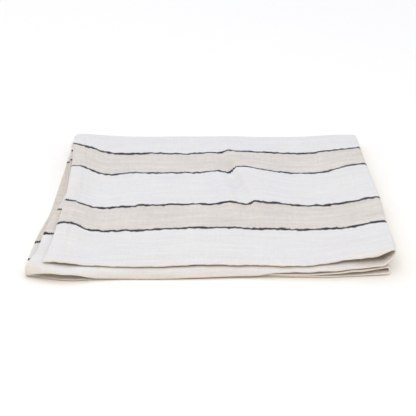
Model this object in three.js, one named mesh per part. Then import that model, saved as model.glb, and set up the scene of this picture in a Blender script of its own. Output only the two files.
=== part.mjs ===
// A striped linen table napkin, folded in four and lying flat.
// The square of hemmed cloth is folded in half to the left, with a crease down its right side, and then in
// half to the front, with a crease along its back. That leaves four layers. The top and second layers are
// one pair, joined at the right crease. The third and bottom layers are the other pair. At the back the top
// layer runs round into the bottom one, and the second into the third.
// Millimetres, +Z up, +X right, -Y to the front. The origin is at the middle of the footprint, on the table.
import * as THREE from "three";

// The cloth, laid flat
const FLAT_WIDTH = 508;
const FLAT_DEPTH = 520;
const CLOTH_THICKNESS = 1.0;
const HEM_THICKNESS = 1.6;
const HEM_WIDTH = 11;
const HEM_SLOPE = 1.5;

// The folded stack
const FOLDED_WIDTH = 250;
const BACK_CREASE_START = 252.5;
const TOP_HEIGHT = 8.6;
const SECOND_HEIGHT = 5.8;
const THIRD_HEIGHT = 3.15;
const TABLE = 0;

const RIGHT_CREASE = FLAT_WIDTH / 2;
const BACK_CREASE = FLAT_DEPTH / 2;
const QUARTER_TURN = Math.PI / 2;

// The left edge of each layer, by its distance y from the front: x from the top layer's front left corner.
const LEFT_EDGES = [
  { y: 0, top: -1.6, second: -14.5, third: 2.0, bottom: -14.6 },
  { y: 10, top: -0.6, second: -14.0, third: 2.0, bottom: -15.6 },
  { y: 25, top: 1.0, second: -10.5, third: 1.5, bottom: -16.2 },
  { y: 60, top: 2.6, second: -6.8, third: 0.5, bottom: -14.6 },
  { y: 100, top: 3.8, second: -1.4, third: -0.5, bottom: -12.0 },
  { y: 130, top: 3.6, second: 1.2, third: -1.5, bottom: -10.6 },
  { y: 175, top: 2.4, second: 0.4, third: -2.0, bottom: -8.2 },
  { y: 215, top: -0.3, second: -2.2, third: -2.8, bottom: -5.6 },
  { y: 252, top: -2.2, second: -2.8, third: -3.0, bottom: -3.2 },
];

// The right creases, by y: where the flat of each pair ends, and for the upper pair how far its lower arm is
// drawn in and how round the crease is, as a share of half the gap that it closes.
const RIGHT_CREASES = [
  { y: 0, upper: 249.6, lower: 246.6, drawnIn: 7.0, round: 0.74 },
  { y: 20, upper: 251.2, lower: 248.2, drawnIn: 5.6, round: 0.76 },
  { y: 63, upper: 251.0, lower: 249.6, drawnIn: 3.2, round: 0.8 },
  { y: 108, upper: 251.0, lower: 249.6, drawnIn: 2.0, round: 0.8 },
  { y: 176, upper: 247.4, lower: 247.0, drawnIn: 1.2, round: 0.9 },
  { y: 215, upper: 246.7, lower: 246.4, drawnIn: 0.8, round: 0.9 },
  { y: 252, upper: 248.4, lower: 248.0, drawnIn: 0.0, round: 0.9 },
];
const LOWER_CREASE_ROUND = 0.95;
// The cloth that a right crease takes to either side: shares of a quarter circle round half its gap and of
// what is drawn in. The upper pair gives way to the lower one over a short stretch at the back crease.
const GAP_TAKES = 0.9;
const DRAWN_IN_TAKES = 0.35;
const PAIRS_MEET_OVER = 8;

// The front edge of each layer, by x: its y, and how far the second layer's hem turns down over the others.
const FRONT_EDGES = [
  { x: -15, top: 0.0, second: -1.5, third: 6.0, bottom: 1.6, turnedDown: 4.4 },
  { x: -7, top: 0.0, second: -3.2, third: 5.5, bottom: 0.2, turnedDown: 2.6 },
  { x: 0, top: 0.0, second: -5.0, third: 5.0, bottom: -1.4, turnedDown: 0.4 },
  { x: 10, top: 0.4, second: -6.0, third: 5.0, bottom: -4.0, turnedDown: -0.4 },
  { x: 20, top: 0.8, second: -6.0, third: 5.5, bottom: -4.4, turnedDown: 0.6 },
  { x: 35, top: 1.2, second: -4.6, third: 6.0, bottom: -3.0, turnedDown: 1.8 },
  { x: 55, top: 0.8, second: -3.0, third: 6.5, bottom: -1.0, turnedDown: 2.7 },
  { x: 80, top: 0.4, second: -2.4, third: 6.5, bottom: 0.2, turnedDown: 3.0 },
  { x: 120, top: 2.6, second: -1.4, third: 6.5, bottom: 1.2, turnedDown: 3.0 },
  { x: 140, top: 2.6, second: -0.6, third: 6.0, bottom: 1.6, turnedDown: 3.0 },
  { x: 151, top: 2.2, second: -0.8, third: 5.4, bottom: 1.4, turnedDown: 2.8 },
  { x: 162, top: 2.0, second: -1.0, third: 4.6, bottom: 1.2, turnedDown: 1.8 },
  { x: 172, top: 1.6, second: -1.2, third: 3.6, bottom: 0.8, turnedDown: 0.8 },
  { x: 200, top: 1.2, second: -1.6, third: 1.6, bottom: 0.4, turnedDown: -0.6 },
  { x: 230, top: 1.8, second: 1.0, third: 3.0, bottom: 2.8, turnedDown: 0.0 },
  { x: 250, top: 4.6, second: 4.0, third: 4.6, bottom: 4.6, turnedDown: 0.0 },
];
const TURNED_DOWN_HEM = 11;
const STEEPNESS = 0.55;

// How far each layer stands up at the left hems, by y, over how wide a strip, and how far the top layer's
// cloth is drawn to the back there.
const LEFT_RISE = [
  { y: 0, top: 3.6, second: 2.2, third: 0.2, width: 34, drawnBack: 0.0 },
  { y: 25, top: 4.0, second: 2.1, third: 0.4, width: 30, drawnBack: 1.5 },
  { y: 63, top: 4.6, second: 2.2, third: 0.8, width: 26, drawnBack: 2.8 },
  { y: 105, top: 4.8, second: 2.4, third: 1.0, width: 22, drawnBack: 2.8 },
  { y: 173, top: 5.4, second: 3.6, third: 1.5, width: 28, drawnBack: 2.4 },
  { y: 216, top: 5.8, second: 4.4, third: 1.6, width: 40, drawnBack: 3.2 },
  { y: 252, top: 3.4, second: 2.0, third: 1.0, width: 44, drawnBack: 0.0 },
];
const DRAWN_BACK_WIDTH = 28;

// How far each layer stands up at the right creases, by y, and over how wide a strip.
const RIGHT_RISE = [
  { y: 0, top: 10.2, second: 4.2, third: 2.4, width: 68 },
  { y: 25, top: 9.2, second: 3.2, third: 2.2, width: 58 },
  { y: 63, top: 6.9, second: 2.1, third: 1.6, width: 52 },
  { y: 105, top: 7.2, second: 1.9, third: 1.2, width: 52 },
  { y: 173, top: 6.6, second: 1.8, third: 1.0, width: 50 },
  { y: 216, top: 4.2, second: 1.5, third: 0.8, width: 50 },
  { y: 252, top: 2.6, second: 1.0, third: 0.6, width: 60 },
];

// The ridges, humps and hollows of the top layer: each is a soft swelling about a middle point, with its
// spread along its run, its spread to the left and right of it, and the run's turn from straight back.
const SWELLS = [
  { what: "front right tip", x: 252, y: 2, height: 2.2, along: 20, left: 15, right: 15, turn: 0 },
  { what: "ridge in the middle", x: 144.2, y: 145, height: 5.6, along: 42, left: 2.8, right: 22, turn: 9 },
  { what: "hump left of the ridge", x: 129, y: 135, height: 2.7, along: 42, left: 7, right: 4.5, turn: 7 },
  { what: "trough between them", x: 137.4, y: 160, height: -0.6, along: 30, left: 1.8, right: 1.8, turn: 9 },
  { what: "broad front middle", x: 118, y: 45, height: 1.6, along: 34, left: 24, right: 24, turn: 0 },
  { what: "broad left middle", x: 84, y: 95, height: 1.6, along: 70, left: 24, right: 38, turn: 0 },
  { what: "valley beside the left hems", x: 31, y: 105, height: -0.9, along: 64, left: 7, right: 11, turn: -8 },
  { what: "hollow in the left hem", x: 12, y: 113, height: -1.5, along: 14, left: 7, right: 7, turn: 0 },
];
const SECOND_FOLLOWS = 0.3;
const THIRD_FOLLOWS = 0.15;

// Where the cloth is divided into cells: close at hems and creases and across the ridge, whose lines of cells
// lean with it, and wider in the layers underneath.
const HEM_STEPS = [0, 4, 8, 11, 12.5];
const BACK_CREASE_STEPS = [-12, -8, -5.6, -3.8, -2.4, -1.2, 0, 1.2, 2.4, 3.8, 5.6, 8, 12];
const RIGHT_CREASE_SHARES = [-1.1, -0.9, -0.75, -0.6, -0.45, -0.3, -0.15, 0, 0.15, 0.3, 0.5, 0.75, 1.1];
const RIGHT_CREASE_ROOM = 16;
const RIDGE_STEPS = [120, 127, 132, 136, 139, 142, 146, 152, 161];
const RIDGE_MIDDLE = { u: 142, v: 142, lean: 9, reach: 90, fadeFrom: 195, fadeOver: 50 };
const TOP_STEP = 13;
const UNDER_STEP = 24;
const UNDER_LEFT_STEPS = [19, 27];

// One named column of a table, read at s as a smooth curve through the rows: between two rows it is a cubic
// whose slope at each row is that of the line through the rows on either side, and level at the two ends.
function column(rows, name, by, s) {
  const last = rows.length - 1;
  const at = THREE.MathUtils.clamp(s, rows[0][by], rows[last][by]);
  let k = 0;
  while (k < last - 1 && at > rows[k + 1][by]) k += 1;
  const slope = (i) => {
    if (i === 0 || i === last) return 0;
    return (rows[i + 1][name] - rows[i - 1][name]) / (rows[i + 1][by] - rows[i - 1][by]);
  };
  const span = rows[k + 1][by] - rows[k][by];
  const t = (at - rows[k][by]) / span;
  const fromStart = (2 * t ** 3 - 3 * t ** 2 + 1) * rows[k][name] + (t ** 3 - 2 * t ** 2 + t) * span * slope(k);
  const fromEnd = (3 * t ** 2 - 2 * t ** 3) * rows[k + 1][name] + (t ** 3 - t ** 2) * span * slope(k + 1);
  return fromStart + fromEnd;
}

// 1 at d = 0, falling along a half wave to 0 at d = 1 and beyond.
function bell(d) {
  return (1 + Math.cos(Math.PI * THREE.MathUtils.clamp(d, 0, 1))) / 2;
}

// How much the top layer's ridges and hollows add at (x, y): the sum of the swells, each height times
// exp(-(distance / spread)^2 / 2) along and across its run.
function swelling(x, y) {
  return SWELLS.reduce((sum, swell) => {
    const turn = THREE.MathUtils.degToRad(swell.turn);
    const dx = x - swell.x;
    const dy = y - swell.y;
    const along = dy * Math.cos(turn) - dx * Math.sin(turn);
    const across = dx * Math.cos(turn) + dy * Math.sin(turn);
    const spread = across < 0 ? swell.left : swell.right;
    return sum + swell.height * Math.exp(-((along / swell.along) ** 2 + (across / spread) ** 2) / 2);
  }, 0);
}

// Heights of the middle of each layer over the nominal place (x, y).
function layerHeights(x, y, thickness) {
  const left = bell((x - column(LEFT_EDGES, "top", "y", y)) / column(LEFT_RISE, "width", "y", y));
  const right = bell((column(RIGHT_CREASES, "upper", "y", y) - x) / column(RIGHT_RISE, "width", "y", y));
  const rise = (name) => left * column(LEFT_RISE, name, "y", y) + right * column(RIGHT_RISE, name, "y", y);
  const swell = swelling(x, y);
  const followed = Math.max(swell, 0) * (1 - right);
  return {
    top: TOP_HEIGHT + rise("top") + swell,
    second: SECOND_HEIGHT + rise("second") + SECOND_FOLLOWS * followed,
    third: THIRD_HEIGHT + rise("third") + THIRD_FOLLOWS * followed,
    bottom: TABLE + thickness / 2,
  };
}

// Thickness of the cloth at (u, v): doubled over along all four hems.
function thicknessAt(u, v) {
  const fromEdge = Math.min(u, FLAT_WIDTH - u, v, FLAT_DEPTH - v);
  const hem = THREE.MathUtils.clamp((HEM_WIDTH + HEM_SLOPE - fromEdge) / HEM_SLOPE, 0, 1);
  return CLOTH_THICKNESS + (HEM_THICKNESS - CLOTH_THICKNESS) * hem;
}

// How the cloth goes round the right crease at (u, v): its nominal place (x, y), the heights of the layers
// there, half the gap that the crease closes, and how much of the cloth to either side of it the crease takes.
function rightFold(u, v) {
  const pastBack = v - BACK_CREASE;
  const x = FOLDED_WIDTH * (1 - Math.abs(u - RIGHT_CREASE) / RIGHT_CREASE);
  const y = BACK_CREASE_START * (1 - Math.abs(pastBack) / BACK_CREASE);
  const height = layerHeights(x, y, thicknessAt(u, v));
  const upperPair = THREE.MathUtils.clamp(0.5 - pastBack / PAIRS_MEET_OVER, 0, 1);
  const halfGap = THREE.MathUtils.lerp(
    (height.third - height.bottom) / 2,
    (height.top - height.second) / 2,
    upperPair,
  );
  const drawnIn = column(RIGHT_CREASES, "drawnIn", "y", y) * upperPair;
  const round = THREE.MathUtils.lerp(LOWER_CREASE_ROUND, column(RIGHT_CREASES, "round", "y", y), upperPair);
  const reach = QUARTER_TURN * halfGap * GAP_TAKES + DRAWN_IN_TAKES * drawnIn;
  return { x, y, height, halfGap, drawnIn, round, reach };
}

// Where the point (u, v) of the flat cloth lies in the folded napkin. u runs from the top layer's left hem
// to the second layer's, v from their front hem to the front hem of the two layers under them. Each fold
// turns the cloth through half a circle: w goes from 1 to -1 round the right crease, q from 1 to -1 round
// the back one. The two together say which layer the point is in.
function napkinPoint(u, v) {
  const pastRight = u - RIGHT_CREASE;
  const pastBack = v - BACK_CREASE;
  const { x, y, height, halfGap, drawnIn, round, reach } = rightFold(u, v);
  const rightTurn = QUARTER_TURN * (1 + THREE.MathUtils.clamp(pastRight / reach, -1, 1));
  const w = Math.cos(rightTurn);
  const outer = (1 + w) / 2;

  const upperHeight = THREE.MathUtils.lerp(height.second, height.top, outer);
  const lowerHeight = THREE.MathUtils.lerp(height.third, height.bottom, outer);
  const backRadius = (upperHeight - lowerHeight) / 2;
  const backReach = QUARTER_TURN * backRadius;
  const backTurn = QUARTER_TURN * (1 + THREE.MathUtils.clamp(pastBack / backReach, -1, 1));
  const q = Math.cos(backTurn);
  const upper = (1 + q) / 2;

  // A value of the layer that the point is in, blended round the creases.
  const ofLayer = (rows, by, s) =>
    THREE.MathUtils.lerp(
      THREE.MathUtils.lerp(column(rows, "third", by, s), column(rows, "bottom", by, s), outer),
      THREE.MathUtils.lerp(column(rows, "second", by, s), column(rows, "top", by, s), outer),
      upper,
    );
  const leftEdge = ofLayer(LEFT_EDGES, "y", y);
  const rightEdge = THREE.MathUtils.lerp(
    column(RIGHT_CREASES, "lower", "y", y),
    column(RIGHT_CREASES, "upper", "y", y),
    upper,
  );
  const acrossShare = Math.max(0, Math.abs(pastRight) - reach) / (RIGHT_CREASE - reach);
  const placedX =
    rightEdge -
    acrossShare * (rightEdge - leftEdge) +
    round * halfGap * Math.sin(rightTurn) -
    drawnIn * (1 - outer) * (1 - acrossShare);

  const frontEdge = ofLayer(FRONT_EDGES, "x", placedX);
  const forwardShare = Math.max(0, Math.abs(pastBack) - backReach) / (BACK_CREASE - backReach);

  const turnedDown = (1 - outer) * upper * column(FRONT_EDGES, "turnedDown", "x", placedX);
  const hemTurn = THREE.MathUtils.clamp(1 - v / TURNED_DOWN_HEM, 0, 1);
  const drawnBack = outer * upper * column(LEFT_RISE, "drawnBack", "y", y) * bell(x / DRAWN_BACK_WIDTH);

  return new THREE.Vector3(
    placedX,
    BACK_CREASE_START -
      forwardShare * (BACK_CREASE_START - frontEdge) +
      backRadius * Math.sin(backTurn) +
      drawnBack +
      turnedDown * STEEPNESS * (hemTurn - Math.sin(QUARTER_TURN * hemTurn)),
    (upperHeight + lowerHeight) / 2 +
      (q * (upperHeight - lowerHeight)) / 2 -
      turnedDown * (1 - Math.cos(QUARTER_TURN * hemTurn)),
  );
}

// The side of the cloth that faces out at (u, v): square to its two directions, each taken over a small step.
function napkinNormal(u, v) {
  const step = 0.2;
  const alongU = napkinPoint(Math.min(u + step, FLAT_WIDTH), v).sub(napkinPoint(Math.max(u - step, 0), v));
  const alongV = napkinPoint(u, Math.min(v + step, FLAT_DEPTH)).sub(napkinPoint(u, Math.max(v - step, 0)));
  return alongU.cross(alongV).normalize();
}

// Even steps of about the given size between two places, both included.
function evenSteps(from, to, size) {
  const count = Math.max(1, Math.round((to - from) / size));
  return Array.from({ length: count + 1 }, (_, i) => THREE.MathUtils.lerp(from, to, i / count));
}

// All the places from one hem to the other where the cloth is divided, in order and each once. The crease
// has room for the given stretch to either side, which is left to be divided by itself. The places in close
// are asked for in the first half, and those in closeLast by their distance from the last hem.
function divisions(length, crease, room, close, closeLast) {
  const stops = [Math.max(...HEM_STEPS), ...close, crease - room];
  const top = stops.slice(1).flatMap((stop, i) => evenSteps(stops[i], stop, TOP_STEP));
  const lastSteps = [...HEM_STEPS, ...closeLast];
  const under = evenSteps(crease + room, length - Math.max(...lastSteps), UNDER_STEP);
  const lastHem = lastSteps.map((d) => length - d).reverse();
  const inOrder = (places) => places.filter((place, i) => i === 0 || place - places[i - 1] > 1e-6);
  return { before: inOrder([...HEM_STEPS, ...top]), after: inOrder([...under, ...lastHem]) };
}

// How far the line of cells at u stands to the right of its own place at v, to lean with the ridge.
function leanAt(u, v) {
  const { u: middleU, v: middleV, lean, reach, fadeFrom, fadeOver } = RIDGE_MIDDLE;
  const share = bell(Math.abs(u - middleU) / reach) * bell((v - fadeFrom) / fadeOver);
  return share * Math.tan(THREE.MathUtils.degToRad(lean)) * (middleV - v);
}

// The places across the cloth at v: fixed ones, but those at the crease keep their share of what it takes.
function acrossAt(v, across) {
  const { reach } = rightFold(RIGHT_CREASE, v);
  return [
    ...across.before.map((u) => u + leanAt(u, v)),
    ...RIGHT_CREASE_SHARES.map((share) => RIGHT_CREASE + share * reach),
    ...across.after,
  ];
}

// The folded cloth as one closed body: an outer and an inner face half a thickness to either side of the
// middle, and a rim along the four hems.
function foldedCloth() {
  const across = divisions(FLAT_WIDTH, RIGHT_CREASE, RIGHT_CREASE_ROOM, RIDGE_STEPS, UNDER_LEFT_STEPS);
  const along = divisions(FLAT_DEPTH, BACK_CREASE, Math.max(...BACK_CREASE_STEPS), [], []);
  const atCrease = BACK_CREASE_STEPS.slice(1, -1).map((d) => BACK_CREASE + d);
  const vs = [...along.before, ...atCrease, ...along.after];
  const columns = acrossAt(0, across).length;
  const positions = [];
  for (const side of [1, -1]) {
    for (const v of vs) {
      for (const u of acrossAt(v, across)) {
        const out = napkinNormal(u, v).multiplyScalar((side * thicknessAt(u, v)) / 2);
        const point = napkinPoint(u, v).add(out);
        positions.push(point.x, point.y, Math.max(point.z, TABLE));
      }
    }
  }
  const sheet = columns * vs.length;
  const at = (i, j) => j * columns + i;
  const index = [];
  const quad = (a, b, c, d) => index.push(a, b, c, a, c, d);
  for (let i = 0; i < columns - 1; i += 1) {
    for (let j = 0; j < vs.length - 1; j += 1) {
      quad(at(i, j), at(i + 1, j), at(i + 1, j + 1), at(i, j + 1));
      quad(sheet + at(i, j), sheet + at(i, j + 1), sheet + at(i + 1, j + 1), sheet + at(i + 1, j));
    }
  }
  const rim = [];
  for (let i = 0; i < columns - 1; i += 1) rim.push(at(i, 0));
  for (let j = 0; j < vs.length - 1; j += 1) rim.push(at(columns - 1, j));
  for (let i = columns - 1; i > 0; i -= 1) rim.push(at(i, vs.length - 1));
  for (let j = vs.length - 1; j > 0; j -= 1) rim.push(at(0, j));
  rim.forEach((a, k) => {
    const b = rim[(k + 1) % rim.length];
    quad(sheet + a, sheet + b, b, a);
  });
  const geometry = new THREE.BufferGeometry();
  geometry.setAttribute("position", new THREE.Float32BufferAttribute(positions, 3));
  geometry.setIndex(index);
  geometry.computeVertexNormals();
  return geometry;
}

// Whitish linen; the beige bands and dark lines are woven in and have no relief of their own.
const linen = new THREE.MeshStandardMaterial({ color: 0xe6e4e1, roughness: 0.9, metalness: 0 });

const napkin = new THREE.Mesh(foldedCloth(), linen);
napkin.name = "napkin";
napkin.geometry.computeBoundingBox();
const middle = napkin.geometry.boundingBox.getCenter(new THREE.Vector3());
napkin.position.set(-middle.x, -middle.y, -TABLE);

const foldedNapkin = new THREE.Group();
foldedNapkin.add(napkin);

export default foldedNapkin;
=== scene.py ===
# %% [markdown]
# # A striped linen napkin, folded in four
#
# The object is one square of hemmed linen, folded in half twice and laid on a white table. Everything that
# gives it away as cloth is small: a soft ridge where it doesn't lie quite flat, hems that stand up a little,
# a fold that gapes at one corner, charcoal lines that wander with the weave. So the lesson is about one
# surface and one material, each made with care.
#
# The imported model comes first, because it fixes where the napkin lies and how big it is.

# %% Load the frame
import math

import bpy
import numpy as np
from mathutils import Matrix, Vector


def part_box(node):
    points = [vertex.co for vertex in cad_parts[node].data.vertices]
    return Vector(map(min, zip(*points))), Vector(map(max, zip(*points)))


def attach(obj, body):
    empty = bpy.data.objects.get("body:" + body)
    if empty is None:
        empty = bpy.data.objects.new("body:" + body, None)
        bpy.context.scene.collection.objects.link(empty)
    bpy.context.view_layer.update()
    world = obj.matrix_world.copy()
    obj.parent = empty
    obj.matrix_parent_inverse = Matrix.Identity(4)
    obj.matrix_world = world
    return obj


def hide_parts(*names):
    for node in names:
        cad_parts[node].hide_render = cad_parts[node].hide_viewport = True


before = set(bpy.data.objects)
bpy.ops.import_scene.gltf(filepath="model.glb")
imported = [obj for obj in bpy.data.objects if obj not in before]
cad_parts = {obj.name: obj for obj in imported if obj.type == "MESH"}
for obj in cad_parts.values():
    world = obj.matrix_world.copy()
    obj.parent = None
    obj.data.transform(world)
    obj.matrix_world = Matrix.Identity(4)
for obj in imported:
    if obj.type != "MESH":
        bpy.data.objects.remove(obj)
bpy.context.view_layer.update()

MM = 0.001
napkin_low, napkin_high = (np.array(corner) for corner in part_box("napkin"))
print("folded napkin, mm:", np.round((napkin_high - napkin_low) / MM, 1))

# %% [markdown]
# ## The cloth before it is folded
#
# A napkin starts as a flat rectangle. A point of it is named by u, across from the top layer's left hem, and
# v, from that layer's front hem. Folding moves the points but never renames them, so the same u and v later
# carry the weave and the stripes round every crease without a seam. The hems are 11 mm wide, and their seam
# runs close to their inner edge.
#
# Lengths in the tables are millimetres, because that is how a sewer would measure them. They are turned into
# metres once, when a mesh is made.

# %% The flat cloth
FLAT_WIDTH, FLAT_DEPTH = 508.0, 520.0
RIGHT_CREASE, BACK_CREASE = FLAT_WIDTH / 2, FLAT_DEPTH / 2
CLOTH_THICKNESS, HEM_THICKNESS = 0.8, 1.4
HEM_WIDTH, SEAM_INSET = 11.0, 9.3
print(f"flat cloth {FLAT_WIDTH:.0f} x {FLAT_DEPTH:.0f} mm")
print(f"creased at u {RIGHT_CREASE:.0f} and v {BACK_CREASE:.0f}")


# %% [markdown]
# ## Tables that are read as smooth curves
#
# Cloth has no corners along an edge, so a few measured places and a smooth curve through them say more than
# many points. Each table has named columns and one row for each place along an edge. A cubic between the rows
# keeps the slope continuous, which matters on cloth: a break in slope shows as a line in the shading.

# %% Tables and curves
def table(names, *rows):
    """Columns by name, from the names in one string and one row of numbers for each place."""
    return dict(zip(names.split(), np.array(rows, float).T))


def column(rows, name, at):
    """One column of a table at the places in at, as a smooth curve through its rows.

    Between two rows it is a cubic. Its slope at a row is that of the line through the rows on either side,
    and it is level at the two ends.
    """
    place, value = next(iter(rows.values())), rows[name]
    at = np.clip(at, place[0], place[-1])
    k = np.clip(np.searchsorted(place, at, side="right") - 1, 0, len(place) - 2)
    slope = np.zeros_like(value)
    slope[1:-1] = (value[2:] - value[:-2]) / (place[2:] - place[:-2])
    span = place[k + 1] - place[k]
    t = (at - place[k]) / span
    start = (2 * t**3 - 3 * t**2 + 1) * value[k] + (t**3 - 2 * t**2 + t) * span * slope[k]
    end = (3 * t**2 - 2 * t**3) * value[k + 1] + (t**3 - t**2) * span * slope[k + 1]
    return start + end


def bell(d):
    """1 at d = 0 and below, falling along half a cosine wave to 0 at d = 1 and beyond."""
    return (1 + np.cos(np.pi * np.clip(d, 0, 1))) / 2


def mix(low, high, share):
    """low where share is 0, high where it is 1, and in proportion between."""
    return low + (high - low) * share


print("a bell at 0, a half and 1:", bell(np.array([0.0, 0.5, 1.0])).round(2))

# %% [markdown]
# ## Where the four layers lie
#
# Seen from above, no layer lies exactly on the one below. The second one pokes out at the front left, the
# bottom one further still, and the third is tucked in. These tables give the plan of each layer: its left
# edge by the distance y from the front, its front edge by x, and the creases on the right. x and y start at
# the top layer's front left corner.
#
# The front table also says how far the two upper hems turn down, and how far the bottom one's underside
# stands off the table. The crease table says where the flat of each pair of layers ends, how far the upper
# pair's lower arm is drawn in from there, and how round the upper crease is, as a share of half its gap.

# %% Plan of the layers
FOLDED_WIDTH, BACK_CREASE_START = 250.0, 252.5
LEFT_EDGES = table(
    "y    top   second third bottom",
    (0, -1.6, -14.5, 2.0, -14.6),
    (10, -0.6, -13.2, 2.0, -15.6),
    (25, 1.0, -9.2, 1.5, -16.2),
    (60, 2.6, -6.8, 0.5, -13.9),
    (83, 3.3, -4.4, 0.0, -11.2),
    (100, 3.8, -1.4, -0.5, -8.9),
    (130, 3.6, 2.4, -1.2, -7.6),
    (160, 2.9, 3.4, -1.4, -6.7),
    (185, 1.9, 2.4, -1.8, -5.8),
    (215, -0.3, -1.8, -2.4, -5.0),
    (238, -1.2, -2.2, -2.4, -3.4),
    (246, 2.4, 1.2, 0.2, -0.2),
    (252.5, 8.0, 6.4, 5.0, 5.6),
)
FRONT_EDGES = table(
    "x    top  second third bottom top_down second_down bottom_lift",
    (-15, 0.0, -1.5, 6.0, 1.6, 0.1, 7.3, 0.3),
    (-7, 0.2, -3.2, 5.5, 0.0, 0.2, 5.6, 0.3),
    (0, 1.2, -5.8, 5.0, -2.0, 0.2, 3.0, 0.5),
    (10, 3.1, -7.4, 5.0, -5.2, 0.3, 0.7, 0.8),
    (20, 3.5, -7.4, 5.5, -6.2, 0.3, 0.7, 0.8),
    (35, 2.4, -5.2, 6.0, -4.3, 0.3, 4.0, 0.8),
    (55, 1.3, -3.3, 6.5, -1.8, 0.3, 5.5, 0.8),
    (80, 0.6, -3.2, 6.5, -1.4, 0.3, 6.0, 0.8),
    (105, 2.5, -2.6, 6.5, -0.8, 0.3, 5.4, 0.8),
    (120, 2.6, -1.8, 6.5, 0.0, 0.3, 5.2, 0.8),
    (140, 2.6, -0.9, 4.5, 0.7, 0.3, 4.7, 0.7),
    (151, 3.6, -1.0, 2.0, 0.6, 0.2, 4.5, 0.7),
    (162, 2.8, -1.2, 0.4, 0.2, 0.3, 2.6, 0.6),
    (172, 2.2, -1.2, -1.0, 0.0, 0.2, 1.3, 0.5),
    (200, 3.0, -1.6, -0.8, -0.8, 0.3, 1.4, 0.4),
    (215, 3.8, -0.6, -0.4, 0.2, 0.8, 2.2, 0.4),
    (230, 3.0, 1.0, 1.0, 1.4, 1.6, 1.5, 0.4),
    (240, 3.4, 2.0, 3.0, 2.0, 2.6, 1.4, 0.2),
    (250, 5.0, 3.0, 6.0, 3.2, 0.4, 1.6, 0.0),
)
RIGHT_CREASES = table(
    "y    upper  lower  drawn_in round",
    (0, 249.8, 246.6, 9.2, 0.84),
    (20, 251.0, 246.9, 8.0, 0.80),
    (63, 250.9, 248.4, 4.2, 0.80),
    (108, 250.4, 249.0, 2.0, 0.80),
    (176, 246.6, 246.0, 1.2, 0.90),
    (215, 247.0, 246.2, 0.8, 0.90),
    (240, 247.4, 246.8, 0.4, 0.90),
    (252.5, 246.2, 246.0, 0.0, 0.90),
)
LOWER_CREASE_ROUND = 0.95
print("left edges at the front, mm:", {name: col[0] for name, col in LEFT_EDGES.items() if name != "y"})

# %% [markdown]
# ## How high each layer stands
#
# Pressed linen springs back a little. The left hems stand up by about 5 mm, the right creases by more, and
# the top layer has one long soft ridge with a hollow and a lower hump beside it. The ridge is what an ironed
# cloth does when it is laid down in a hurry. Swells are soft hills with a round top. One with a sharper left
# side than right side makes a fold that leans. The lower layers follow a share of what lies on them.

# %% Heights of the layers
LAYER_HEIGHTS = {"top": 8.6, "second": 6.2, "third": 2.3}
LEFT_RISE = table(
    "y    top  second third width drawn_back",
    (0, 3.6, 5.4, 0.4, 34, 0.0),
    (25, 4.0, 4.1, 0.6, 34, 1.5),
    (63, 4.3, 2.9, 0.8, 34, 2.8),
    (105, 4.8, 2.6, 1.0, 22, 2.8),
    (173, 5.4, 4.0, 1.5, 28, 2.4),
    (216, 5.8, 5.6, 1.6, 40, 3.2),
    (252.5, 2.0, 1.2, 0.6, 44, 0.0),
)
RIGHT_RISE = table(
    "y    top   second third bottom width",
    (0, 10.2, 3.0, 3.0, 0.7, 68),
    (25, 9.2, 2.8, 2.1, 0.6, 58),
    (63, 6.9, 1.7, 1.6, 0.4, 52),
    (105, 7.2, 1.5, 1.2, 0.0, 52),
    (173, 6.6, 1.4, 1.0, 0.0, 50),
    (216, 3.8, 1.0, 0.7, 0.0, 50),
    (252.5, 1.6, 0.2, 0.4, 0.0, 60),
)
BOTTOM_RISE_WIDTH = 30.0
SIDE_DROP, SIDE_DROP_WIDTH, SIDE_DROP_LENGTH = 1.3, 16.0, 70.0
SWELLS = {
    "front right tip": dict(x=252, y=2, height=2.2, along=20, left=15, right=15, turn=0),
    "ridge in the middle": dict(x=142.6, y=145, height=5.6, along=42, left=2.4, right=21, turn=9),
    "hump left of the ridge": dict(x=127.5, y=135, height=2.7, along=42, left=7, right=4.5, turn=7),
    "trough between them": dict(x=135.8, y=160, height=-0.6, along=30, left=1.8, right=1.8, turn=9),
    "foot of the ridge": dict(x=140, y=103, height=1.2, along=18, left=14, right=12, turn=0),
    "broad front middle": dict(x=118, y=45, height=1.6, along=34, left=24, right=24, turn=0),
    "broad left middle": dict(x=84, y=95, height=1.1, along=70, left=24, right=38, turn=0),
    "valley beside the left hems": dict(x=31.5, y=105, height=-1.2, along=64, left=7, right=9, turn=-4),
    "hollow in the left hem": dict(x=10, y=110, height=-1.9, along=14, left=6, right=8, turn=0),
}
SECOND_FOLLOWS, THIRD_FOLLOWS = 0.3, 0.15


def swelling(x, y):
    """What the swells add to the top layer at (x, y).

    Each adds its height times exp(-(distance / spread) ** 2 / 2), along its run and across it, with one
    spread to the left of the run and another to the right.
    """
    total = np.zeros(np.broadcast(x, y).shape)
    for swell in SWELLS.values():
        turn = math.radians(swell["turn"])
        dx, dy = x - swell["x"], y - swell["y"]
        along = dy * math.cos(turn) - dx * math.sin(turn)
        across = dx * math.cos(turn) + dy * math.sin(turn)
        spread = np.where(across < 0, swell["left"], swell["right"])
        total += swell["height"] * np.exp(-((along / swell["along"]) ** 2 + (across / spread) ** 2) / 2)
    return total


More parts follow.
